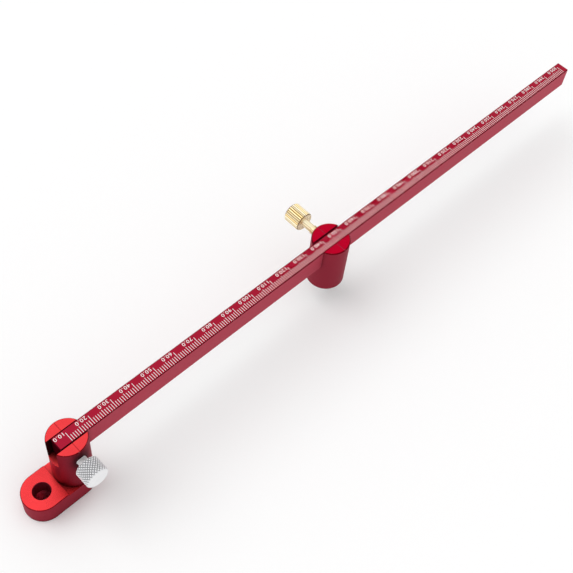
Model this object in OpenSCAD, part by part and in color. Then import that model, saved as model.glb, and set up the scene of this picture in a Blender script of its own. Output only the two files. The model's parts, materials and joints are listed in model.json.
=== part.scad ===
// Carpenter's beam compass: a graduated bar held on edge in two slotted posts.
// The head post stands on a foot plate with the pencil hole, and the slider post
// carries the pivot point. A thumb screw in each post clamps the bar.
// Origin: where the head post's axis meets the underside of the foot.
// +X runs along the bar from the head to the slider, and +Z is up.

/* [Bar] */
// Length of the bar
bar_l = 298.5; // [240:0.5:600]
// Thickness of the bar, front to back
bar_w = 6; // [5:0.5:8]
// Height of the bar on edge
bar_h = 10; // [9:0.5:14]
// Bevel along every edge of the bar
bar_bevel = 0.3; // [0.1:0.05:0.35]

/* [Scale] */
// Reading of the scale at the bar's head end
end_reading = 4.6; // [2:0.1:6]
// First graduation
first_mark = 10; // [10:10:50]
// Last graduation
last_mark = 300; // [60:10:300]
// Graduations from one to the next
mark_step = 1; // [1:1:5]
// Width of a graduation
mark_w = 0.22; // [0.16:0.02:0.5]
// Depth of a graduation
mark_depth = 0.08; // [0.04:0.02:0.2]
// Length of a plain graduation
mark_short = 2.4; // [1.5:0.1:3]
// Length of every fifth graduation
mark_middle = 2.8; // [1.5:0.1:3.5]
// Length of every tenth graduation
mark_long = 4.05; // [2:0.05:4.2]
// Bare strip between the bar's front face and the graduations
mark_margin = 0.4; // [0.4:0.05:0.7]

/* [Setting] */
// Reading of the scale under the head's cross hair
head_reading = 9.3; // [8:0.05:11]
// Reading of the scale under the slider's cross hair
slider_reading = 143.7; // [40:0.1:220]

/* [Posts] */
// Diameter of the head post
head_post_d = 15.3; // [14:0.1:20]
// Diameter of the slider post
slider_post_d = 16.3; // [14:0.1:20]
// Height of the posts' tops above the work
stand_h = 35; // [33:0.5:44]
// Height of the slider post
slider_h = 25; // [21:0.5:28]
// How far the posts' tops stand above the bar
top_proud = 0.15; // [0.1:0.05:0.5]
// Free width beside the bar in a slot
slot_play = 0.5; // [0.2:0.05:0.8]
// Bevel round the head post and the foot
rim_bevel = 0.25; // [0.1:0.05:0.5]
// Bevel round the slider post
slider_bevel = 0.4; // [0.1:0.05:0.6]
// Width of the engraved cross hairs
hair_w = 0.3; // [0.2:0.05:0.6]
// Depth of the engraved cross hairs
hair_depth = 0.12; // [0.05:0.01:0.3]

/* [Foot] */
// How far the foot's sides stand out past the head post
foot_margin = 0.2; // [0.1:0.1:2]
// Thickness of the foot at the pencil hole
foot_t = 10; // [8:0.5:12]
// How far the raised end stands above the seat of the post
foot_step = 0.8; // [0.4:0.1:2]
// Distance from the post's axis to the pencil hole
pencil_offset = 14.2; // [13.5:0.1:30]
// Diameter of the pencil hole
pencil_d = 7; // [6:0.1:9]
// Diameter of the opening for the pencil's point
tip_d = 2.4; // [2:0.1:5]
// Height of the opening for the pencil's point
tip_l = 0.8; // [0.5:0.1:1.5]
// Height of the cone that guides the point
guide_l = 1.8; // [1:0.1:2.5]
// Bevel round the mouth of the pencil hole
mouth_bevel = 0.1; // [0.1:0.05:0.6]

/* [Thumb screws] */
// Outer diameter of the screws' threads
thread_d = 4; // [3:0.5:5]
// Travel of a screw for one turn
thread_pitch = 0.7; // [0.5:0.1:0.8]
// Depth of the head screw's axis below the posts' tops
head_screw_drop = 7; // [4:0.1:7.5]
// Depth of the slider screw's axis below the posts' tops
slider_screw_drop = 3.9; // [3.5:0.1:7.5]
// Diameter of the head screw's knurled head
head_knob_d = 9.5; // [7:0.1:12]
// Length of the head screw's knurled head
head_knob_l = 7; // [4:0.1:12]
// Diameter of the head screw's plain neck
head_neck_d = 3.9; // [2:0.1:4.5]
// Length of the head screw's plain neck
head_neck_l = 2.5; // [1:0.1:6]
// Length of thread that shows between the head post and the neck
head_thread_out = 0.1; // [0.1:0.1:2]
// Diameter of the slider screw's knurled head
slider_knob_d = 8.6; // [7:0.1:12]
// Length of the slider screw's knurled head
slider_knob_l = 8.1; // [4:0.1:12]
// Diameter of the slider screw's plain neck
slider_neck_d = 3.3; // [2:0.1:4.5]
// Length of the slider screw's plain neck
slider_neck_l = 4.9; // [2:0.1:12]
// Length of thread that shows between the slider post and the neck
slider_thread_out = 2; // [0.1:0.1:3]
// Bevel at the outer end of a knurled head
knob_bevel = 0.45; // [0.3:0.05:1]
// Bevel at the inner end of a knurled head
neck_bevel = 0.25; // [0.25:0.05:1]
// Depth of a knurl groove
knurl_depth = 0.22; // [0.1:0.02:0.4]
// Number of grooves round the head screw's head
head_knurl_count = 32; // [20:1:48]
// Number of grooves round the slider screw's head
slider_knurl_count = 36; // [20:1:48]

/* [Pressure pads] */
// Diameter of a pad
pad_d = 3.4; // [2.6:0.1:3.4]
// Thickness of a pad
pad_t = 1.2; // [1:0.1:1.6]
// Diameter of the screw's pilot in the pad
pilot_d = 1.8; // [1:0.1:2]
// Length of the screw's pilot in the pad
pilot_l = 0.7; // [0.4:0.1:0.7]

/* [Pivot pin] */
// Diameter of the pivot pin below the slider post
pin_d = 4; // [3.5:0.5:6]
// Diameter of the pin's stem in the slider post
stem_d = 3; // [2:0.5:3]
// Length of the pin's stem in the slider post
stem_l = 10; // [5:0.5:11]
// Height of the pin's cone
pin_cone = 4; // [2:0.1:5]
// Diameter of the blunt end of the point
pin_point_d = 0.3; // [0.2:0.05:0.6]

/* [Foot screws] */
// Thread diameter of the foot screws
foot_screw_d = 3; // [2:0.5:3]
// Length of the foot screws with their heads
foot_screw_l = 14; // [12:0.5:16]
// Distance between the two foot screws
foot_screw_gap = 7.2; // [7:0.1:7.8]
// Diameter of the foot screws' heads
foot_screw_head = 5.5; // [5:0.1:5.8]
// Key size of the foot screws' sockets
foot_screw_key = 2; // [1.5:0.1:2]

/* [Hidden] */

// A cut runs this far past the face it opens
cut = 1;
// Running clearance beside the bar, and between a pad and the bar
slide_gap = 0.05;
// Depth of a thread groove, as a share of its pitch
thread_form = 0.5;
// Radial clearance of a turning thread or pilot
run_gap = 0.05;
// Radial clearance of a pin or screw that stays put
seat_gap = 0.02;
// Gap between the foot's step and the post
step_gap = 0.15;
// How far a foot screw's head lies inside the foot
head_sink = 0.15;
// Depth of a foot screw's socket
socket_depth = 1.1;
// How much shallower a knurl's ring grooves are than its straight ones
knurl_relief = 0.04;

$fn = 64;
head_post_r = head_post_d / 2;
foot_w = head_post_d + 2 * foot_margin;
slider_post_r = slider_post_d / 2;
slot_w = bar_w + slot_play;
slot_depth = bar_h + top_proud;
// The head's screw pushes the bar back, and the slider's screw pushes its post back
slot_shift = slot_play / 2 - slide_gap;
bar_y = slot_shift;
slider_y = bar_y + slot_shift;
bar_x = end_reading - head_reading;
slider_x = slider_reading - head_reading;
bar_z = stand_h - slot_depth;
seat_z = foot_t - foot_step;
head_screw_z = stand_h - head_screw_drop;
slider_screw_z = stand_h - slider_screw_drop;
// Distances along a thumb screw, from the post's axis outwards
pad_face_y = bar_w / 2 - slot_shift + slide_gap;
pad_back_y = pad_face_y + pad_t;
thread_start_y = pad_back_y + slide_gap;
head_cone_l = (foot_screw_head - foot_screw_d) / 2;

// Corners of a rectangle centred across x = 0 that stands on y = 0, with bevelled corners
function bevelled(w, h, b) = [
    [-w / 2 + b, 0], [w / 2 - b, 0], [w / 2, b], [w / 2, h - b],
    [w / 2 - b, h], [-w / 2 + b, h], [-w / 2, h - b], [-w / 2, b]
];

// Straight prism along +X with the given outline in Y and Z
module along_x(length, outline) {
    rotate([90, 0, 90]) linear_extrude(length) polygon(outline);
}

// Upright disc with bevelled rims
module bevelled_disc(d, h, b) {
    rotate_extrude() polygon([
        [0, 0], [d / 2 - b, 0], [d / 2, b], [d / 2, h - b], [d / 2 - b, h], [0, h]
    ]);
}

// Points its children's +Z along +Y for side = 1, or along -Y for side = -1
module facing(side) {
    rotate([-90 * side, 0, 0]) children();
}

// Length of the graduation at a reading
function mark_length(reading) =
    reading % (10 * mark_step) == 0 ? mark_long :
    reading % (5 * mark_step) == 0 ? mark_middle : mark_short;

module graduations() {
    front_y = bar_y - bar_w / 2 + mark_margin;
    for (reading = [first_mark : mark_step : last_mark])
        if (reading < end_reading + bar_l - mark_w)
            translate([reading - head_reading - mark_w / 2, front_y, bar_z + bar_h - mark_depth])
                cube([mark_w, mark_length(reading), mark_depth + cut]);
}

// Red anodised bar on edge, bevelled on every edge, with engraved graduations
module scale_bar() {
    color("crimson") difference() {
        translate([bar_x, bar_y, bar_z]) intersection() {
            along_x(bar_l, bevelled(bar_w, bar_h, bar_bevel));
            translate([bar_l / 2, -bar_w / 2, 0]) linear_extrude(bar_h)
                polygon(bevelled(bar_l, bar_w, bar_bevel));
            translate([bar_l / 2, bar_w / 2, 0]) rotate([90, 0, 0]) linear_extrude(bar_w)
                polygon(bevelled(bar_l, bar_h, bar_bevel));
        }
        graduations();
    }
}

// Round post standing on z = 0, with the bar's slot and a cross hair in its top
module slotted_post(d, h, b) {
    difference() {
        bevelled_disc(d, h, b);
        translate([-d / 2 - cut, -slot_w / 2, h - slot_depth])
            cube([d + 2 * cut, slot_w, slot_depth + cut]);
        translate([-hair_w / 2, -d / 2 - cut, h - hair_depth])
            cube([hair_w, d + 2 * cut, hair_depth + cut]);
    }
}

// Threaded hole from a post's axis out through its wall
module screw_hole(side, reach) {
    facing(side) cylinder(h = reach + cut, d = thread_d + 2 * run_gap);
}

// Places children at each foot screw
module at_foot_screws() {
    for (x = [-foot_screw_gap / 2, foot_screw_gap / 2]) translate([x, 0, 0]) children();
}

module head_post() {
    color("firebrick") difference() {
        translate([0, 0, seat_z]) slotted_post(head_post_d, stand_h - seat_z, rim_bevel);
        translate([0, 0, head_screw_z]) screw_hole(-1, head_post_r);
        at_foot_screws() translate([0, 0, seat_z - cut])
            cylinder(h = foot_screw_l + head_sink - seat_z + 2 * cut, d = foot_screw_d + 2 * seat_gap);
    }
}

// Foot plate with the raised pencil end, seated under the head post
module pencil_foot() {
    color("red") difference() {
        union() {
            bevelled_disc(foot_w, foot_t, rim_bevel);
            translate([-pencil_offset, 0, 0]) bevelled_disc(foot_w, foot_t, rim_bevel);
            translate([-pencil_offset, 0, 0])
                along_x(pencil_offset, bevelled(foot_w, foot_t, rim_bevel));
        }
        translate([-head_post_r - step_gap, -foot_w / 2 - cut, seat_z])
            cube([head_post_r + step_gap + foot_w / 2 + cut, foot_w + 2 * cut, foot_step + cut]);
        translate([-pencil_offset, 0, 0]) pencil_hole();
        at_foot_screws() foot_screw_hole();
    }
}

// Bore for the pencil, with a cone that lets only its point through
module pencil_hole() {
    rotate_extrude() polygon([
        [0, -cut], [tip_d / 2, -cut], [tip_d / 2, tip_l], [pencil_d / 2, tip_l + guide_l],
        [pencil_d / 2, foot_t - mouth_bevel], [pencil_d / 2 + mouth_bevel, foot_t],
        [pencil_d / 2 + mouth_bevel, foot_t + cut], [0, foot_t + cut]
    ]);
}

// Countersunk clearance hole through the foot
module foot_screw_hole() {
    hole_r = foot_screw_d / 2 + seat_gap;
    mouth_r = foot_screw_head / 2 + seat_gap;
    rotate_extrude() polygon([
        [0, -cut], [mouth_r, -cut], [mouth_r, head_sink],
        [hole_r, head_sink + head_cone_l], [hole_r, foot_t + cut], [0, foot_t + cut]
    ]);
}

module foot_screws() {
    color("gray") at_foot_screws() translate([0, 0, head_sink]) difference() {
        rotate_extrude() polygon([
            [0, 0], [foot_screw_head / 2, 0], [foot_screw_d / 2, head_cone_l],
            [foot_screw_d / 2, foot_screw_l], [0, foot_screw_l]
        ]);
        translate([0, 0, -cut]) cylinder(h = socket_depth + cut, d = foot_screw_key / cos(30), $fn = 6);
    }
}

// Outline of a thread in the half plane: a row of V grooves, one for each pitch
function thread_outline(start, end) =
    let (
        turns = floor((end - start) / thread_pitch),
        crest = thread_d / 2,
        root = crest - thread_form * thread_pitch
    ) concat(
        [[0, start]],
        [for (i = [0 : turns - 1], p = [[crest, 0.1], [crest, 0.3], [root, 0.6], [root, 0.8]])
            [p[0], start + (i + p[1]) * thread_pitch]],
        [[crest, start + (turns + 0.1) * thread_pitch], [crest, end + cut], [0, end + cut]]
    );

// Shank of a thumb screw along +Z, from its pilot to the end of its thread
module screw_shank(thread_end) {
    translate([0, 0, thread_start_y - pilot_l]) cylinder(h = pilot_l + cut, d = pilot_d);
    intersection() {
        rotate_extrude() polygon(thread_outline(thread_start_y, thread_end));
        translate([0, 0, thread_start_y]) cylinder(h = thread_end - thread_start_y, d = thread_d);
    }
}

// Silver thumb screw with a short neck and a cross-knurled head
module head_thumb_screw() {
    neck_start = head_post_r + head_thread_out;
    knob_start = neck_start + head_neck_l;
    groove_pitch = PI * head_knob_d / head_knurl_count;
    color("gainsboro") translate([0, 0, head_screw_z]) facing(-1) {
        screw_shank(neck_start);
        translate([0, 0, neck_start]) cylinder(h = head_neck_l, d = head_neck_d);
        translate([0, 0, knob_start])
            knurled_head(head_knob_d, head_knob_l, head_knurl_count,
                         floor((head_knob_l - neck_bevel - knob_bevel) / groove_pitch));
    }
}

// Outline in the half plane of a bevelled head with V grooves round it. Its side stays clear
// of the crests that the grooves along the head leave, and its grooves stay above their roots
function head_outline(d, length, rings) =
    let (
        side = d / 2 + knurl_relief,
        root = rings > 0 ? d / 2 - knurl_depth + knurl_relief : side,
        start = neck_bevel + knurl_relief,
        end = length - knob_bevel - knurl_relief,
        steps = 2 * max(rings, 1)
    ) concat(
        [[0, 0], [d / 2 - neck_bevel, 0]],
        [for (i = [0 : steps]) [i % 2 == 1 ? root : side, start + (end - start) * i / steps]],
        [[d / 2 - knob_bevel, length], [0, length]]
    );

// Head of a thumb screw, with V grooves along it and any number of them round it
module knurled_head(d, length, count, rings = 0) {
    intersection() {
        rotate_extrude() polygon(head_outline(d, length, rings));
        translate([0, 0, -cut]) linear_extrude(length + 2 * cut) polygon([
            for (i = [0 : 2 * count - 1])
                let (r = d / 2 - (i % 2) * knurl_depth, a = 180 * i / count) [r * cos(a), r * sin(a)]
        ]);
    }
}

// Brass thumb screw with a thin neck and a straight-knurled head
module slider_thumb_screw() {
    neck_start = slider_post_r + slider_thread_out;
    knob_start = neck_start + slider_neck_l;
    color("gold") translate([slider_x, slider_y, slider_screw_z]) facing(1) {
        screw_shank(neck_start);
        translate([0, 0, neck_start]) cylinder(h = slider_neck_l, d = slider_neck_d);
        translate([0, 0, knob_start])
            knurled_head(slider_knob_d, slider_knob_l, slider_knurl_count);
    }
}

// Nylon pad along +Z, with a socket that turns on the screw's pilot
module pressure_pad() {
    color("ivory") translate([0, 0, pad_face_y]) difference() {
        cylinder(h = pad_t, d = pad_d);
        translate([0, 0, pad_t + slide_gap - pilot_l - run_gap])
            cylinder(h = pilot_l + cut, d = pilot_d + 2 * run_gap);
    }
}

module head_pressure_pad() {
    translate([0, 0, head_screw_z]) facing(-1) pressure_pad();
}

module slider_pressure_pad() {
    translate([slider_x, slider_y, slider_screw_z]) facing(1) pressure_pad();
}

module slider_post() {
    color("crimson") translate([slider_x, slider_y, 0]) difference() {
        translate([0, 0, stand_h - slider_h]) slotted_post(slider_post_d, slider_h, slider_bevel);
        translate([0, 0, slider_screw_z]) screw_hole(1, slider_post_r);
        translate([0, 0, stand_h - slider_h - cut])
            cylinder(h = stem_l + 2 * cut, d = stem_d + 2 * seat_gap);
    }
}

// Steel point with a stem pressed into the slider, as long as the foot is deep
module pivot_pin() {
    shoulder_z = stand_h - slider_h;
    color("silver") translate([slider_x, slider_y, 0]) rotate_extrude() polygon([
        [0, 0], [pin_point_d / 2, 0], [pin_d / 2, pin_cone], [pin_d / 2, shoulder_z],
        [stem_d / 2, shoulder_z], [stem_d / 2, shoulder_z + stem_l], [0, shoulder_z + stem_l]
    ]);
}

scale_bar();
head_post();
pencil_foot();
foot_screws();
head_thumb_screw();
head_pressure_pad();
slider_post();
slider_thumb_screw();
slider_pressure_pad();
pivot_pin();
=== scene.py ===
import json
import math

import bmesh
import bpy
from mathutils import Matrix, Quaternion, Vector


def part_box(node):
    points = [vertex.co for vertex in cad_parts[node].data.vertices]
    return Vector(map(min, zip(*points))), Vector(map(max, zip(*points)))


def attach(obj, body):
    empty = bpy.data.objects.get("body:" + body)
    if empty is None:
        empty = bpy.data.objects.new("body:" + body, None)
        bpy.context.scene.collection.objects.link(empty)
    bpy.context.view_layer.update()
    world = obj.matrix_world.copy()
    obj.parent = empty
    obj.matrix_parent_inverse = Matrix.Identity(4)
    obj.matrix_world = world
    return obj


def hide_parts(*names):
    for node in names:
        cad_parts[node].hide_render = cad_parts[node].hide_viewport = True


# Looks of a beam compass: red anodised bar, posts and foot, a silver and a brass thumb screw.
# Lengths here are in millimetres, and MM turns them into metres. Colours are 8-bit sRGB.
# Noise scales in the finishes count per metre.

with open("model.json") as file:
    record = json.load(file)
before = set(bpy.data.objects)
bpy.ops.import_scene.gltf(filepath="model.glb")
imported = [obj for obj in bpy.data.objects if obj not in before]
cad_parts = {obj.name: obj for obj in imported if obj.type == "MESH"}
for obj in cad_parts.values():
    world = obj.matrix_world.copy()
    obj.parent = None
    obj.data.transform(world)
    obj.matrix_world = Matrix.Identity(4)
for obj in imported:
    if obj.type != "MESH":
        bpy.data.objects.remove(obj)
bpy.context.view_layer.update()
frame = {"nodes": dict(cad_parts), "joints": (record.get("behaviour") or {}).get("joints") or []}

MM = 0.001

# Camera, at the photograph's place
CAMERA_AT = (-77.98, -154.09, 370.80)
CAMERA_AIM = (103.90, -4.70, 34.85)
CAMERA_ROLL_DEG = 7.893
CAMERA_CLIP = (10.0, 20000.0)
LENS_MM = 65.118
SENSOR_MM = 36.0

# Light, and the floor under it
SKY_STRENGTH = 0.8
KEY_LEVEL = 0.23
KEY_DIRECTION = (0.35, -0.5, -0.78)
KEY_ANGLE_DEG = 50.0
FLOOR_COLOUR = (253, 253, 253)
FLOOR_HALF = 3000.0
FLOOR_Z = -0.05

# Graduations: END_READING is at the bar's near end, and MARK_MARGIN runs from its front edge.
# A mark is as long as the largest of these steps that divides its reading says.
END_READING = 4.6
FIRST_MARK = 10
LAST_MARK = 300
MARK_LENGTHS = {10: 4.05, 5: 2.8, 1: 2.4}
MARK_W = 0.22
MARK_MARGIN = 0.4
MARK_DEPTH = 0.08

# Paint in the graduations: its gap to the groove's walls, and how far it stands over the bar
PAINT_GAP = 0.005
PAINT_PROUD = 0.012
PAINT_BEVEL = 0.02

# Numbers: NUMBER_GAP from their mark, with their base NUMBER_BASE from the bar's back edge
NUMBER_STEP = 10
NUMBER_H = 1.55
NUMBER_STRETCH = 1.15
NUMBER_SPACING = 1.1
NUMBER_GAP = 0.85
NUMBER_BASE = 0.7
NUMBER_WELD = 0.0001

# Cross hairs and pencil hole
HAIR_DEPTH = 0.12
BORE_R = 3.5

# Threads: THREAD_FLANK is a flank's share of the pitch, and THREAD_ROOT over 1 flattens the root
THREAD_R = 2.0
THREAD_PITCH = 0.7
THREAD_DEPTH = 0.35
THREAD_FLANK = 0.34
THREAD_ROOT = 1.15
THREAD_FADE = 0.3
THREAD_BEVEL = 0.2
THREAD_RINGS = 12
PILOT_R = 0.9
PILOT_L = 0.7
PILOT_BEVEL = 0.1

# Knurled heads: KNURL_FLAT is the flat's share of a cell, and lip and dish lie inside the bevel
KNOB_BEVEL = 0.6
NECK_BEVEL = 0.35
NECK_EDGE = 0.05
NECK_FILLET = 0.15
FILLET_BEND = 0.3
KNURL_DEPTH = 0.3
KNURL_FLAT = 0.3
LIP_W = 0.3
DISH_IN = 0.4
DISH_DEPTH = 0.03
ROUND_STEPS = 48

# Head's thumb screw
HEAD_KNURLS = 24
HEAD_KNURL_ROWS = 5
HEAD_KNOB_L = 7.0
HEAD_NECK_R = 1.95
HEAD_NECK_L = 2.5

# Slider's thumb screw
SLIDER_KNURLS = 28
SLIDER_KNOB_L = 8.1
SLIDER_NECK_R = 1.65
SLIDER_NECK_L = 4.9

# Dyed metal: how metallic it is, and how far painted shade in corners and painted contact shade reach
DYE_METALLIC = 0.85
NICK_COLOUR = (214, 150, 156)
CORNER_SHADE_REACH = 2.0
CONTACT_REACH = 15.0
OPENNESS_SAMPLES = 8

# Kinds of face, told by one part of the normal: where a change starts and where it is complete
TOPS = (0.93, 0.98)
OFF_SIDES = (0.12, 0.3)
SHADED_ENDS = (0.8, 0.95)
KNOB_ENDS = (0.9, 0.97)
OFF_KNURL = (0.63, 0.69)

# Bevels, between two such changes
PLATE_BEVELS = ((0.6, 0.68), (0.78, 0.84))
KNOB_BEVELS = ((0.35, 0.45), (0.85, 0.92))

# The span that nearly all values of a noise lie in
NOISE_SPAN = (0.3, 0.7)


def linear(colour):
    """An 8-bit sRGB colour as linear RGBA."""
    def one(v):
        v /= 255
        return v / 12.92 if v <= 0.04045 else ((v + 0.055) / 1.055) ** 2.4
    return (*[one(v) for v in colour], 1.0)


class Graph:
    """A material's node tree, with short calls for the nodes that the finishes here use."""

    def __init__(self, name, roughness, metallic=0.0, specular=0.5, rim=(255, 255, 255)):
        self.material = bpy.data.materials.new(name)
        self.material.use_nodes = True
        self.tree = self.material.node_tree
        self.shader = self.tree.nodes["Principled BSDF"]
        self.give("Roughness", roughness)
        self.give("Metallic", metallic)
        self.give("Specular IOR Level", specular)
        self.give("Specular Tint", linear(rim))
        coordinates = self.tree.nodes.new("ShaderNodeTexCoord")
        self.place = coordinates.outputs["Object"]
        self.normal = coordinates.outputs["Normal"]

    def feed(self, socket, value):
        if isinstance(value, bpy.types.NodeSocket):
            self.tree.links.new(value, socket)
        else:
            socket.default_value = value

    def give(self, key, value):
        """Sets one of the shader's own inputs."""
        self.feed(self.shader.inputs[key], value)

    def math(self, operation, a, b=0.0):
        node = self.tree.nodes.new("ShaderNodeMath")
        node.operation = operation
        self.feed(node.inputs[0], a)
        self.feed(node.inputs[1], b)
        return node.outputs[0]

    def axis(self, vector, index):
        node = self.tree.nodes.new("ShaderNodeSeparateXYZ")
        self.feed(node.inputs[0], vector)
        return node.outputs[index]

    def stretched(self, scale):
        """The place on the object, in metres, with each axis multiplied."""
        node = self.tree.nodes.new("ShaderNodeMapping")
        self.feed(node.inputs["Vector"], self.place)
        node.inputs["Scale"].default_value = scale
        return node.outputs[0]

    def noise(self, scale, detail=2.0, vector=None):
        node = self.tree.nodes.new("ShaderNodeTexNoise")
        self.feed(node.inputs["Vector"], vector or self.place)
        node.inputs["Scale"].default_value = scale
        node.inputs["Detail"].default_value = detail
        return node.outputs["Fac"]

    def ramp(self, value, low, high, start=0.0, end=1.0):
        """Start where the value is low, end where it is high, and in between a straight run."""
        node = self.tree.nodes.new("ShaderNodeMapRange")
        for key, v in zip(("Value", "From Min", "From Max", "To Min", "To Max"),
                          (value, low, high, start, end)):
            self.feed(node.inputs[key], v)
        return node.outputs[0]

    def flip(self, value):
        return self.ramp(value, 0.0, 1.0, 1.0, 0.0)

    def band(self, value, rise, fall):
        """1 between the two ramps, 0 outside them."""
        return self.math("MULTIPLY", self.ramp(value, *rise), self.ramp(value, *fall, 1.0, 0.0))

    def mix(self, factor, a, b):
        node = self.tree.nodes.new("ShaderNodeMix")
        node.data_type = "RGBA"
        self.feed(node.inputs["Factor"], factor)
        for socket, colour in ((node.inputs[6], a), (node.inputs[7], b)):
            self.feed(socket, linear(colour) if isinstance(colour, tuple) else colour)
        return node.outputs[2]

    def shade(self, colour, factor, depth):
        """A colour darkened by up to depth where the factor is 0."""
        node = self.tree.nodes.new("ShaderNodeMix")
        node.data_type = "RGBA"
        node.blend_type = "MULTIPLY"
        node.inputs["Factor"].default_value = 1.0
        self.feed(node.inputs[6], colour)
        grey = self.tree.nodes.new("ShaderNodeCombineColor")
        value = self.ramp(factor, 0.0, 1.0, 1.0 - depth, 1.0)
        for i in range(3):
            self.feed(grey.inputs[i], value)
        self.feed(node.inputs[7], grey.outputs[0])
        return node.outputs[2]

    def openness(self, reach):
        """1 on open surfaces, less in corners and slots within reach, where shade is painted."""
        node = self.tree.nodes.new("ShaderNodeAmbientOcclusion")
        node.samples = OPENNESS_SAMPLES
        node.inputs["Distance"].default_value = reach
        return node.outputs["AO"]

    def bump(self, height, distance, strength=1.0):
        """Adds a relief to those that the shader has."""
        node = self.tree.nodes.new("ShaderNodeBump")
        node.inputs["Strength"].default_value = strength
        node.inputs["Distance"].default_value = distance
        self.feed(node.inputs["Height"], height)
        if self.shader.inputs["Normal"].is_linked:
            self.feed(node.inputs["Normal"], self.shader.inputs["Normal"].links[0].from_socket)
        self.give("Normal", node.outputs[0])

    def radius(self, centre, along):
        """Distance from the line through centre, in metres, that runs along axis number along."""
        total = None
        for i in range(3):
            if i == along:
                continue
            off = self.math("SUBTRACT", self.axis(self.place, i), centre[i])
            square = self.math("MULTIPLY", off, off)
            total = square if total is None else self.math("ADD", total, square)
        return self.math("SQRT", total)


def hair_floor(g, top_z):
    """1 on the floor of a cross hair cut into a top at height top_z."""
    depths = [top_z - share * HAIR_DEPTH * MM for share in (2.0, 1.8, 0.5, 0.3)]
    return g.band(g.axis(g.place, 2), depths[:2], depths[2:])


def nicks(g, level):
    """Small worn spots on the bevels. level is how far a face's normal points up or down."""
    spots = g.ramp(g.noise(1400.0, 2.0), 0.66, 0.72)
    return g.math("MULTIPLY", g.math("MULTIPLY", spots, g.band(level, *PLATE_BEVELS)), 0.55)


def tool_marks(g, turned, on_top, on_side):
    """Fine rings round the axis turned, or lines along X where there is none."""
    if not turned:
        g.bump(g.noise(1.0, 2.0, g.stretched((60.0, 7000.0, 7000.0))), 0.006 * MM, 0.5)
        return
    rings = g.noise(1.0, 1.0, g.stretched((40.0, 40.0, 9000.0)))
    g.bump(g.math("MULTIPLY", rings, on_side), 0.006 * MM, 0.5)
    swirl = g.math("SINE", g.math("MULTIPLY", g.radius(turned, 2), 42000.0))
    g.bump(g.math("MULTIPLY", swirl, on_top), 0.0012 * MM, 0.5)


def anodised(name, top, side, bevel_shade, rim, turned=None, hair=None, end=None, contact=False, bore=None):
    """Satin dyed anodising with light and shade painted by the way each face points, and a few nicks.

    rim tints the gloss at grazing angles.
    turned is the axis that fine rings run round, and without it fine lines run along X.
    hair is the colour of the cross hair and the height of the top. end is a painted shade on the
    faces across X.
    contact darkens the sides near what the piece stands on with painted shade. bore is a hole's axis,
    radius and a lighter colour painted on its wall as light.
    """
    g = Graph(name, roughness=0.3, metallic=DYE_METALLIC, specular=0.0, rim=rim)
    up = g.axis(g.normal, 2)
    level = g.math("ABSOLUTE", up)
    on_top = g.ramp(up, *TOPS)
    on_side = g.ramp(level, *OFF_SIDES, 1.0, 0.0)
    mottle = g.noise(90.0, 3.0)
    grain = g.noise(5200.0, 2.0)
    # Painted light and shade: tops take a lit colour, sides a colour with painted shade and a painted
    # pale sheen, bevels and bottoms a dark shaded one.
    colour = g.mix(on_top, g.mix(on_side, bevel_shade, side), top)
    if hair:
        hair_colour, top_z = hair
        colour = g.mix(g.math("MULTIPLY", hair_floor(g, top_z), on_top), colour, hair_colour)
    # The bore's wall gets a lighter colour of its own, painted as light inside the hole.
    if bore:
        bore_axis, bore_r, bore_colour = bore
        inside = g.ramp(g.radius(bore_axis, 2), bore_r - 0.1 * MM, bore_r + 0.1 * MM, 1.0, 0.0)
        colour = g.mix(inside, colour, bore_colour)
    # Painted shade on the faces across X, such as the bar's ends, which are also made matt.
    if end:
        shaded_end = g.ramp(g.math("ABSOLUTE", g.axis(g.normal, 0)), *SHADED_ENDS)
        colour = g.mix(shaded_end, colour, end)
        g.give("Metallic", g.ramp(shaded_end, 0.0, 1.0, DYE_METALLIC, 0.0))
    colour = g.mix(nicks(g, level), colour, NICK_COLOUR)
    # Painted shade in corners and slots.
    colour = g.shade(colour, g.ramp(g.openness(CORNER_SHADE_REACH * MM), 0.4, 0.95), 0.6)
    # Painted shade on the sides near what the piece stands on.
    if contact:
        wide = g.ramp(g.openness(CONTACT_REACH * MM), 0.55, 1.0)
        colour = g.shade(colour, g.math("MAXIMUM", wide, g.flip(on_side)), 0.85)
    colour = g.shade(colour, g.ramp(mottle, *NOISE_SPAN), 0.07)
    g.give("Base Color", g.shade(colour, grain, 0.10))
    satin = g.ramp(on_side, 0.0, 1.0, 0.26, 0.48)
    g.give("Roughness", g.math("ADD", satin, g.ramp(mottle, *NOISE_SPAN, -0.03, 0.04)))
    g.bump(grain, 0.012 * MM, 0.5)
    tool_marks(g, turned, on_top, on_side)
    return g.material


def paint(name, colour):
    """Engraving paint: nearly white, slightly uneven, with a soft gloss."""
    g = Graph(name, roughness=0.5)
    cloud = g.noise(2500.0, 2.0)
    g.give("Base Color", g.shade(linear(colour), g.ramp(cloud, *NOISE_SPAN), 0.06))
    g.give("Roughness", g.ramp(cloud, *NOISE_SPAN, 0.42, 0.58))
    g.bump(cloud, 0.01 * MM, 0.4)
    return g.material


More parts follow.
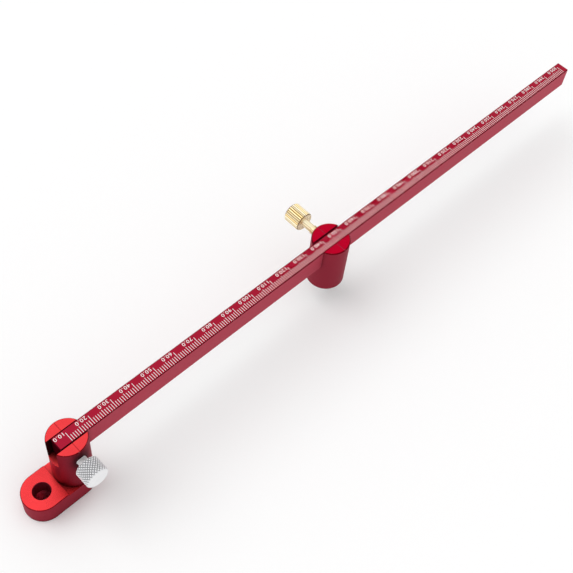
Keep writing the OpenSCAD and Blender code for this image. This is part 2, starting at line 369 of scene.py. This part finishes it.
def turned_metal(name, centre, crest_r, bright, dull, groove, rim, roughness, metallic, coat=0.0):
    """Plated or plain metal turned along Y: streaked, with painted shade in the knurl and fine tool
    rings.

    bright and dull bound the streaked colour, partly random tone and partly painted reflections;
    groove is the painted shade in the knurl and rim the colour of the bevels round the head's ends.
    """
    g = Graph(name, roughness, metallic, specular=0.3)
    g.give("Coat Weight", coat)
    g.give("Coat Roughness", 0.12)
    r = g.radius(centre, 1)
    across = g.math("ABSOLUTE", g.axis(g.normal, 1))
    facing = g.ramp(across, *KNOB_ENDS)
    in_head = g.ramp(r, (crest_r - 2.2 * KNURL_DEPTH) * MM, (crest_r - 2.0 * KNURL_DEPTH) * MM)
    low = g.ramp(r, (crest_r - KNURL_DEPTH) * MM, (crest_r - 0.25 * KNURL_DEPTH) * MM, 1.0, 0.0)
    in_knurl = g.ramp(across, *OFF_KNURL, 1.0, 0.0)
    # Painted shade in the knurl's valleys.
    valley_shade = g.math("MULTIPLY", g.math("MULTIPLY", low, in_head), in_knurl)
    cloud = g.noise(1.0, 2.0, g.stretched((620.0, 40.0, 620.0)))
    # Streaks along the axis: partly random tone, partly painted reflections.
    streaks_and_reflections = g.math("MULTIPLY", g.ramp(cloud, 0.4, 0.6), g.ramp(facing, 0.0, 1.0, 1.0, 0.2))
    colour = g.mix(g.math("ADD", streaks_and_reflections, g.math("MULTIPLY", facing, 0.4)), dull, bright)
    near_crest = g.ramp(r, (crest_r - KNOB_BEVEL) * MM, (crest_r - KNOB_BEVEL + 0.1) * MM)
    bevel = g.math("MULTIPLY", g.band(across, *KNOB_BEVELS), near_crest)
    g.give("Base Color", g.mix(valley_shade, g.mix(bevel, colour, rim), groove))
    g.give("Roughness", g.ramp(cloud, *NOISE_SPAN, roughness - 0.04, roughness + 0.08))
    rings = g.math("SINE", g.math("MULTIPLY", r, 50000.0))
    g.bump(g.math("MULTIPLY", rings, facing), 0.002 * MM, 0.5)
    g.bump(g.noise(1.0, 2.0, g.stretched((50.0, 8000.0, 50.0))), 0.004 * MM, 0.4)
    return g.material


def steel(name):
    """Ground steel with a few darker patches."""
    g = Graph(name, roughness=0.3, metallic=1.0)
    cloud = g.noise(700.0, 3.0)
    g.give("Base Color", g.mix(g.ramp(cloud, *NOISE_SPAN), (176, 178, 182), (208, 210, 213)))
    g.give("Roughness", g.ramp(cloud, *NOISE_SPAN, 0.22, 0.36))
    g.bump(g.noise(1.0, 2.0, g.stretched((60.0, 60.0, 9000.0))), 0.005 * MM, 0.5)
    return g.material


def nylon(name):
    """Natural nylon: matte and slightly cloudy."""
    g = Graph(name, roughness=0.6)
    cloud = g.noise(1500.0, 2.0)
    g.give("Base Color", g.mix(cloud, (222, 216, 200), (240, 236, 224)))
    g.bump(cloud, 0.01 * MM, 0.5)
    return g.material


def paper(name):
    """Matte white paper with faint fibres."""
    g = Graph(name, roughness=0.9, specular=0.0)
    g.give("Base Color", g.shade(linear(FLOOR_COLOUR), g.noise(900.0, 3.0), 0.01))
    return g.material


def mesh_object(name, bm, material):
    """Turns a bmesh into an object of the scene."""
    mesh = bpy.data.meshes.new(name)
    bm.to_mesh(mesh)
    bm.free()
    mesh.materials.append(material)
    made = bpy.data.objects.new(name, mesh)
    bpy.context.scene.collection.objects.link(made)
    return made


def add_piece(name, bm, material, body, replaces=()):
    """Makes a piece of the object from a bmesh in the row frame, and lets it ride on its body."""
    bmesh.ops.recalc_face_normals(bm, faces=bm.faces)
    piece = mesh_object(name, bm, material)
    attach(piece, body)
    if replaces:
        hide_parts(*replaces)
    return piece


def dress(node, material):
    """Gives a CAD node its finish."""
    mesh = frame["nodes"][node].data
    mesh.materials.clear()
    mesh.materials.append(material)


def bridge(bm, a, b, smooth=False):
    """Quads between two closed rings of as many vertices."""
    for i in range(len(a)):
        k = (i + 1) % len(a)
        face = bm.faces.new((a[i], a[k], b[k], b[i]))
        face.smooth = smooth


def cap(bm, loop):
    """Closes a ring with a fan of triangles round its middle."""
    centre = bm.verts.new(sum((v.co for v in loop), Vector()) / len(loop))
    for i in range(len(loop)):
        bm.faces.new((loop[i], loop[(i + 1) % len(loop)], centre))


def slab(bm, low, high, bevel):
    """A closed block from low to high with its upper edges bevelled."""
    rings = []
    for z, inset in ((low[2], 0.0), (high[2] - bevel, 0.0), (high[2], bevel)):
        x0, y0, x1, y1 = low[0] + inset, low[1] + inset, high[0] - inset, high[1] - inset
        rings.append([bm.verts.new(p) for p in ((x0, y0, z), (x1, y0, z), (x1, y1, z), (x0, y1, z))])
    bm.faces.new(rings[0][::-1])
    bm.faces.new(rings[-1])
    for a, b in zip(rings, rings[1:]):
        bridge(bm, a, b)


def graduations(bar_low, bar_high):
    """One slab of paint for each mark of the scale."""
    bm = bmesh.new()
    half = (MARK_W / 2 - PAINT_GAP) * MM
    front = bar_low.y + (MARK_MARGIN + PAINT_GAP) * MM
    bottom = bar_high.z - (MARK_DEPTH - PAINT_GAP / 4) * MM
    top = bar_high.z + PAINT_PROUD * MM
    for reading in range(FIRST_MARK, LAST_MARK + 1):
        step = next(s for s in MARK_LENGTHS if reading % s == 0)
        x = bar_low.x + (reading - END_READING) * MM
        back = front + (MARK_LENGTHS[step] - 2 * PAINT_GAP) * MM
        slab(bm, (x - half, front, bottom), (x + half, back, top), PAINT_BEVEL * MM)
    return bm


def text_mesh(words):
    """A number as a flat slab of mesh, 1 thick, with its base on y = 0."""
    curve = bpy.data.curves.new("words", "FONT")
    curve.body = words
    curve.size = 1.0
    curve.space_character = NUMBER_SPACING
    curve.extrude = 0.5
    curve.resolution_u = 3
    holder = bpy.data.objects.new("words", curve)
    bpy.context.scene.collection.objects.link(holder)
    bpy.context.view_layer.update()
    mesh = bpy.data.meshes.new_from_object(holder)
    bpy.data.objects.remove(holder)
    bpy.data.curves.remove(curve)
    return mesh


def glyph_height():
    """Height of a nought as text_mesh makes it."""
    probe = text_mesh("0")
    heights = [v.co.y for v in probe.vertices]
    bpy.data.meshes.remove(probe)
    return max(heights) - min(heights)


def numbers(bar_low, bar_high):
    """Plain numbers that read from the back, tops towards the graduations."""
    bm = bmesh.new()
    scale = NUMBER_H / glyph_height()
    for reading in range(FIRST_MARK, LAST_MARK + 1, NUMBER_STEP):
        mesh = text_mesh(f"{reading}.0")
        left = min(v.co.x for v in mesh.vertices)
        x = bar_low.x + (reading - END_READING - NUMBER_GAP) * MM
        y = bar_high.y - NUMBER_BASE * MM
        mesh.transform(
            Matrix.Translation((x, y, bar_high.z))
            @ Matrix.Rotation(math.pi, 4, "Z")
            @ Matrix.Diagonal((scale * NUMBER_STRETCH * MM, scale * MM, 2 * PAINT_PROUD * MM, 1))
            @ Matrix.Translation((-left, 0, 0))
        )
        bm.from_mesh(mesh)
        bpy.data.meshes.remove(mesh)
    bmesh.ops.remove_doubles(bm, verts=bm.verts, dist=NUMBER_WELD * MM)
    return bm


class Spindle:
    """Places points round a screw's axis: angle in turns, radius and distance along in mm."""

    def __init__(self, turn):
        self.start = Vector(turn["pos_m"])
        self.out = Vector(turn["axis"])
        self.side = Vector((1, 0, 0))
        self.up = self.out.cross(self.side)

    def point(self, turn, radius, along):
        a = math.tau * turn
        flat = self.side * math.cos(a) + self.up * math.sin(a)
        return self.start + self.out * (along * MM) + flat * (radius * MM)


def ring(bm, spindle, radius, along):
    return [bm.verts.new(spindle.point(i / ROUND_STEPS, radius, along)) for i in range(ROUND_STEPS)]


def thread_radius(turn, along, start, end):
    """Radius of a right-hand V thread that fades out at both ends."""
    phase = (along / THREAD_PITCH - turn) % 1.0
    groove = max(0.0, 1.0 - abs(phase - 0.5) / THREAD_FLANK)
    groove = min(1.0, groove * THREAD_ROOT)
    fade = min(1.0, (along - start) / THREAD_FADE, (end - along) / THREAD_FADE)
    return THREAD_R - THREAD_DEPTH * groove * max(0.0, fade)


def thread_ring(bm, spindle, along, start, end):
    turns = [i / ROUND_STEPS for i in range(ROUND_STEPS)]
    return [bm.verts.new(spindle.point(t, thread_radius(t, along, start, end), along)) for t in turns]


def shank(bm, spindle, start, thread_end, profile):
    """One closed shell: pilot, thread from start to thread_end, then the profile's rings."""
    pilot_tip = start - PILOT_L
    rings = [ring(bm, spindle, radius, along) for radius, along in (
        (PILOT_R - PILOT_BEVEL, pilot_tip), (PILOT_R, pilot_tip + PILOT_BEVEL),
        (PILOT_R, start), (THREAD_R - THREAD_BEVEL, start),
    )]
    count = round((thread_end - start) / THREAD_PITCH * THREAD_RINGS)
    first = start + THREAD_BEVEL
    for k in range(1, count + 1):
        along = first + (thread_end - first) * k / count
        rings.append(thread_ring(bm, spindle, along, start, thread_end))
    rings += [ring(bm, spindle, radius, along) for radius, along in profile]
    for a, b in zip(rings, rings[1:]):
        bridge(bm, a, b, smooth=True)
    cap(bm, rings[0][::-1])
    cap(bm, rings[-1])


def knob_loop(count, crest, z, way):
    """One end of a knurl as (angle, radius, along): a valley and the two sides of a flat each.

    way is -1 or 1, the way towards the nearer end, where the valleys run further.
    """
    points = []
    for k in range(count):
        points.append((k / count, crest - KNURL_DEPTH, z + way * KNURL_DEPTH))
        points.append(((k + 0.5 - KNURL_FLAT / 2) / count, crest, z))
        points.append(((k + 0.5 + KNURL_FLAT / 2) / count, crest, z))
    return points


def knob(bm, spindle, start, length, crest, count, rows):
    """Closed knurled head: diamonds if it has rows, else straight grooves, with bevelled ends."""
    low = start + NECK_BEVEL
    high = start + length - KNOB_BEVEL
    ends = []
    for z, way, bevel in ((low, -1, NECK_BEVEL), (high, 1, KNOB_BEVEL)):
        corners = knob_loop(count, crest, z, way)
        face_z = z + way * bevel
        inner = crest - bevel
        dish_z = face_z - way * DISH_DEPTH
        loops = [[bm.verts.new(spindle.point(*p)) for p in corners]]
        for radius, along in ((inner, face_z), (inner - LIP_W, face_z), (inner - DISH_IN, dish_z)):
            loops.append([bm.verts.new(spindle.point(p[0], radius, along)) for p in corners])
        for a, b in zip(loops, loops[1:]):
            bridge(bm, a, b)
        cap(bm, loops[-1])
        ends.append(loops[0])
    if rows:
        diamonds(bm, spindle, low, high, crest, count, rows, ends)
    else:
        bridge(bm, *ends)


def diamonds(bm, spindle, low, high, crest, count, rows, ends):
    """Flat-topped pyramids between crossed helical grooves, joined to both ends' loops.

    Places count in half cells: i round the head and j along it. Whole even sums are valleys, whole
    odd sums are the middles of the flats, and a place is looked up to a hundredth.
    """
    steps_i = 2 * count
    steps_j = 2 * rows
    rise = (high - low) / steps_j
    made = {}

    def end_vertex(i, loop):
        cell, part = divmod(i % steps_i, 2)
        corner = 0 if part == 0 else (1 if part < 1 else 2)
        return loop[int(cell) * 3 + corner]

    def vertex(i, j):
        key = (round(i * 100) % (100 * steps_i), round(j * 100))
        if key not in made:
            if j in (0, steps_j):
                made[key] = end_vertex(i, ends[0] if j == 0 else ends[1])
            else:
                valley = i == round(i) and j == round(j)
                radius = crest - KNURL_DEPTH if valley else crest
                made[key] = bm.verts.new(spindle.point(i / steps_i, radius, low + j * rise))
        return made[key]

    for j in range(steps_j + 1):
        ways = [w for w in ((1, 0), (0, 1), (-1, 0), (0, -1)) if 0 <= j + w[1] <= steps_j]
        for i in range((j + 1) % 2, steps_i, 2):
            inner = [vertex(i + KNURL_FLAT * a, j + KNURL_FLAT * b) for a, b in ways]
            bm.faces.new(inner)
            for k in range(len(ways)):
                n = (k + 1) % len(ways)
                if abs(ways[k][0] - ways[n][0]) == 1:
                    outer = [vertex(i + ways[m][0], j + ways[m][1]) for m in (k, n)]
                    bm.faces.new((outer[0], outer[1], inner[n], inner[k]))


def joint(name):
    return next(j for j in frame["joints"] if j["name"] == name)


def knob_radius(node, turn):
    """Radius in mm over the knurl's crests of a thumb screw's CAD node."""
    return (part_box(node)[1].z - turn["pos_m"][2]) / MM


def thumb_screw(name, node, body, turn, material, neck_r, neck_l, knob_l, count, rows):
    """A whole thumb screw in place of its CAD node."""
    spindle = Spindle(turn)
    reach = [abs((corner - spindle.start).dot(spindle.out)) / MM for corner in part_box(node)]
    tip = min(reach)
    knob_start = max(reach) - knob_l
    neck_start = knob_start - neck_l
    bend = FILLET_BEND * NECK_FILLET
    bm = bmesh.new()
    shank(bm, spindle, tip + PILOT_L, neck_start, [
        (neck_r - NECK_EDGE, neck_start),
        (neck_r, neck_start + NECK_EDGE),
        (neck_r, knob_start - NECK_FILLET),
        (neck_r + bend, knob_start - bend),
        (neck_r + NECK_FILLET, knob_start),
        (neck_r + NECK_FILLET, knob_start + 2 * NECK_FILLET),
    ])
    knob(bm, spindle, knob_start, knob_l, knob_radius(node, turn), count, rows)
    return add_piece(name, bm, material, body, (node,))


def stage_floor():
    bm = bmesh.new()
    half = FLOOR_HALF * MM
    corners = [(-half, -half), (half, -half), (half, half), (-half, half)]
    bm.faces.new([bm.verts.new((x, y, FLOOR_Z * MM)) for x, y in corners])
    floor = mesh_object("floor", bm, paper("floor_paper"))


def world_light():
    """A white surround, weaker as a light than as the camera and shiny or clear surfaces see it."""
    world = bpy.data.worlds.new("studio")
    bpy.context.scene.world = world
    world.use_nodes = True
    tree = world.node_tree
    background = tree.nodes["Background"]
    background.inputs["Color"].default_value = (1, 1, 1, 1)
    path = tree.nodes.new("ShaderNodeLightPath")
    seen = path.outputs["Is Camera Ray"]
    for ray in ("Is Glossy Ray", "Is Transmission Ray"):
        both = tree.nodes.new("ShaderNodeMath")
        both.operation = "MAXIMUM"
        tree.links.new(seen, both.inputs[0])
        tree.links.new(path.outputs[ray], both.inputs[1])
        seen = both.outputs[0]
    strength = tree.nodes.new("ShaderNodeMapRange")
    strength.inputs["To Min"].default_value = SKY_STRENGTH
    strength.inputs["To Max"].default_value = 1.0
    tree.links.new(seen, strength.inputs["Value"])
    tree.links.new(strength.outputs[0], background.inputs["Strength"])


def soft_light(name, level, direction, angle_deg):
    """A wide soft light that gives level surfaces the wanted share of full white."""
    lamp = bpy.data.lights.new(name, "SUN")
    lamp.angle = math.radians(angle_deg)
    direction = Vector(direction).normalized()
    lamp.energy = math.pi * level / -direction.z
    holder = bpy.data.objects.new(name, lamp)
    holder.rotation_mode = "QUATERNION"
    holder.rotation_quaternion = direction.to_track_quat("-Z", "Y")
    bpy.context.scene.collection.objects.link(holder)


def photo_camera():
    camera = bpy.data.cameras.new("camera")
    camera.lens = LENS_MM
    camera.sensor_width = SENSOR_MM
    camera.clip_start = CAMERA_CLIP[0] * MM
    camera.clip_end = CAMERA_CLIP[1] * MM
    holder = bpy.data.objects.new("camera", camera)
    bpy.context.scene.collection.objects.link(holder)
    at = Vector(CAMERA_AT) * MM
    aim = Vector(CAMERA_AIM) * MM
    level = (aim - at).to_track_quat("-Z", "Y")
    holder.location = at
    holder.rotation_mode = "QUATERNION"
    holder.rotation_quaternion = level @ Quaternion((0, 0, 1), math.radians(CAMERA_ROLL_DEG))
    bpy.context.scene.camera = holder


# Places from the frame, in metres. The foot's near end is a half circle about the pencil hole.
head_low, head_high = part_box("head_post")
slider_low, slider_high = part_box("slider_post")
bar_low, bar_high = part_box("scale_bar")
head_axis = tuple((head_low + head_high) / 2)
slider_axis = tuple((slider_low + slider_high) / 2)
foot_low, foot_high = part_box("pencil_foot")
foot_r = (foot_high.y - foot_low.y) / 2
hole_axis = (foot_low.x + foot_r, foot_low.y + foot_r, 0.0)
head_turn = joint("head_screw_turn")
slider_turn = joint("slider_screw_turn")

# Bar, with its painted scale
# The bar's colours are lit and shaded copies painted by the way its faces point, and end is painted
# shade on its ends.
dress("scale_bar", anodised(
    "bar_red", top=(172, 32, 56), side=(182, 62, 82), bevel_shade=(92, 8, 24), rim=(255, 243, 243),
    end=(58, 3, 12)))
white = paint("white_fill", (250, 248, 246))
add_piece("scale_graduations", graduations(bar_low, bar_high), white, "bar")
add_piece("scale_numbers", numbers(bar_low, bar_high), white, "bar")

# Posts and foot
# Tops, sides and bevels of posts and foot take lit and shaded colours painted by the way their faces
# point.
dress("head_post", anodised(
    "head_red", top=(240, 66, 70), side=(138, 32, 48), bevel_shade=(120, 6, 18), rim=(255, 214, 220),
    turned=head_axis, hair=((226, 56, 62), head_high.z), contact=True))
dress("slider_post", anodised(
    "slider_red", top=(192, 6, 42), side=(148, 44, 60), bevel_shade=(104, 4, 18), rim=(255, 230, 234),
    turned=slider_axis, hair=((204, 70, 96), slider_high.z)))
dress("pencil_foot", anodised(
    "foot_red", top=(240, 64, 68), side=(150, 40, 56), bevel_shade=(120, 6, 18), rim=(255, 214, 220),
    turned=head_axis, bore=(hole_axis, BORE_R * MM, (178, 74, 94))))

# Small steel and nylon pieces
ground = steel("ground_steel")
white_nylon = nylon("natural_nylon")
dress("foot_screws", ground)
dress("pivot_pin", ground)
dress("head_pressure_pad", white_nylon)
dress("slider_pressure_pad", white_nylon)

# Head's thumb screw, silver
# The silver's groove colour is painted shade in the knurl.
silver = turned_metal(
    "nickel_plate", head_turn["pos_m"], knob_radius("head_thumb_screw", head_turn),
    bright=(250, 250, 251), dull=(236, 237, 239), groove=(108, 110, 114), rim=(236, 236, 238),
    roughness=0.32, metallic=0.1)
thumb_screw("head_screw_turned", "head_thumb_screw", "head_screw", head_turn, silver,
            HEAD_NECK_R, HEAD_NECK_L, HEAD_KNOB_L, HEAD_KNURLS, HEAD_KNURL_ROWS)

# Slider's thumb screw, brass
# The brass's groove and dark brown rim are painted shade in the knurl and on the head's bevels.
gold = turned_metal(
    "plain_brass", slider_turn["pos_m"], knob_radius("slider_thumb_screw", slider_turn),
    bright=(250, 238, 204), dull=(232, 204, 140), groove=(88, 56, 18), rim=(104, 68, 30),
    roughness=0.24, metallic=0.65, coat=0.5)
thumb_screw("slider_screw_turned", "slider_thumb_screw", "slider_screw", slider_turn, gold,
            SLIDER_NECK_R, SLIDER_NECK_L, SLIDER_KNOB_L, SLIDER_KNURLS, rows=0)

# Floor, light and camera
bpy.context.scene.view_settings.view_transform = "Standard"
stage_floor()
world_light()
soft_light("key", KEY_LEVEL, KEY_DIRECTION, KEY_ANGLE_DEG)
photo_camera()
